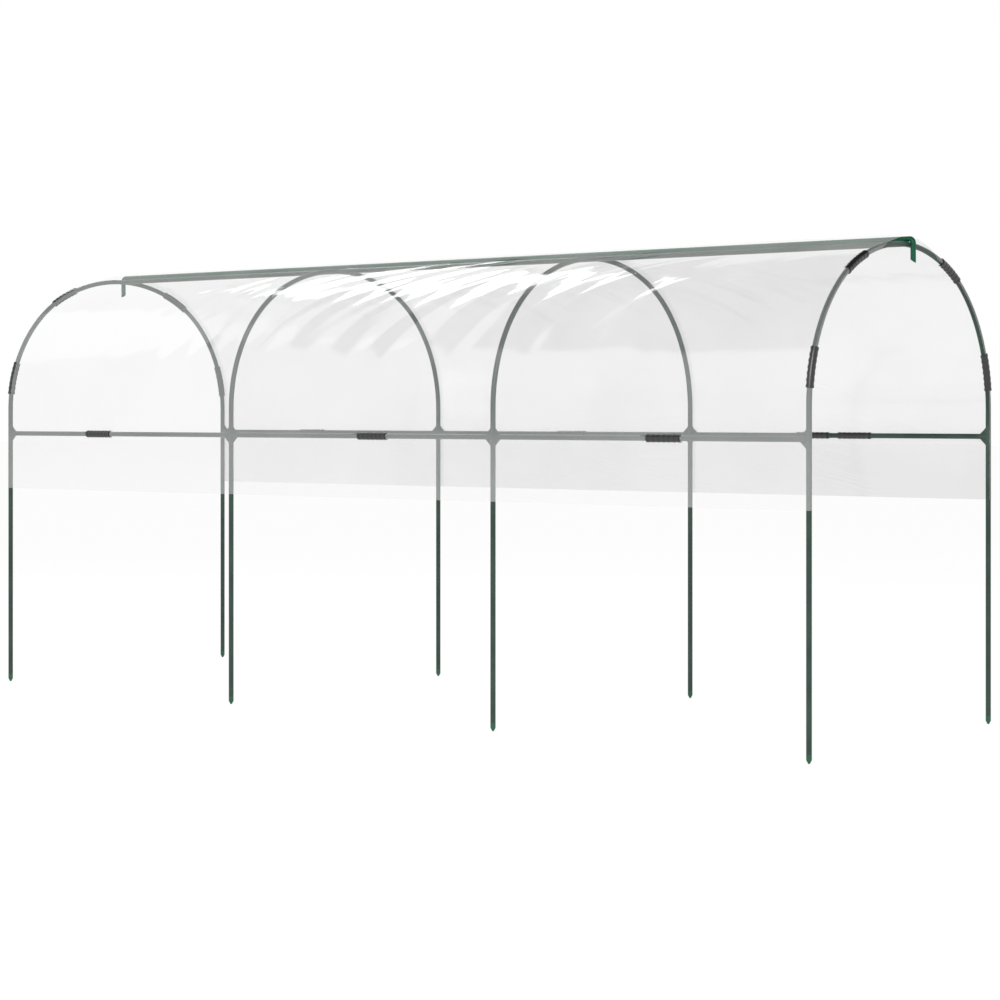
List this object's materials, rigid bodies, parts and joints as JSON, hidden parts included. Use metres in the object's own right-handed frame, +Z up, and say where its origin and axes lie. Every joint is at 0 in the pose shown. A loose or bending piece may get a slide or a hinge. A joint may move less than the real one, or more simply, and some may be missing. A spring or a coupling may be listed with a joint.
{
  "type": "polytunnel greenhouse",
  "caption": "Low open-ended garden polytunnel: a frame of green steel tube hoops, legs and rails under a clear film cover held by a ridge rod and snap clips.",
  "frame": {"origin": "centre of the tunnel's footprint, on the level of the foot tips", "axes": "+X along the tunnel, +Y across it towards the back row of legs, +Z up"},
  "size_m": [3.3486, 1.0933, 1.4759],
  "materials": {
    "green_tube": "satin plastic-coated steel",
    "hook_rod": "gloss plastic-coated steel",
    "green_joint": "moulded, fine satin",
    "foot_cap": "moulded, satin",
    "black_clip": "moulded, satin",
    "clear_film": "clear soft film, glossy with wrinkles"
  },
  "bodies": {
    "root": {"leg_front_1": "green_tube", "rail_joint_front_1": "green_joint", "bow_front_1": "green_tube", "leg_back_1": "green_tube", "rail_joint_back_1": "green_joint", "bow_back_1": "green_tube", "crown_joint_1": "green_joint", "leg_front_2": "green_tube", "rail_joint_front_2": "green_joint", "bow_front_2": "green_tube", "leg_back_2": "green_tube", "rail_joint_back_2": "green_joint", "bow_back_2": "green_tube", "crown_joint_2": "green_joint", "leg_front_3": "green_tube", "rail_joint_front_3": "green_joint", "bow_front_3": "green_tube", "leg_back_3": "green_tube", "rail_joint_back_3": "green_joint", "bow_back_3": "green_tube", "crown_joint_3": "green_joint", "leg_front_4": "green_tube", "rail_joint_front_4": "green_joint", "bow_front_4": "green_tube", "leg_back_4": "green_tube", "rail_joint_back_4": "green_joint", "bow_back_4": "green_tube", "crown_joint_4": "green_joint", "rail_front_1": "green_tube", "rail_back_1": "green_tube", "ridge_tube_1": "green_tube", "rail_front_2": "green_tube", "rail_back_2": "green_tube", "ridge_tube_2": "green_tube", "rail_front_3": "green_tube", "rail_back_3": "green_tube", "ridge_tube_3": "green_tube", "foot_caps_front": "foot_cap", "foot_caps_back": "foot_cap", "ridge_rod": "hook_rod", "clips_hoop_1": "black_clip", "clips_hoop_4": "black_clip", "clips_rail_front": "black_clip", "clips_rail_back": "black_clip", "film_cover": "clear_film"}
  },
  "joints": []
}
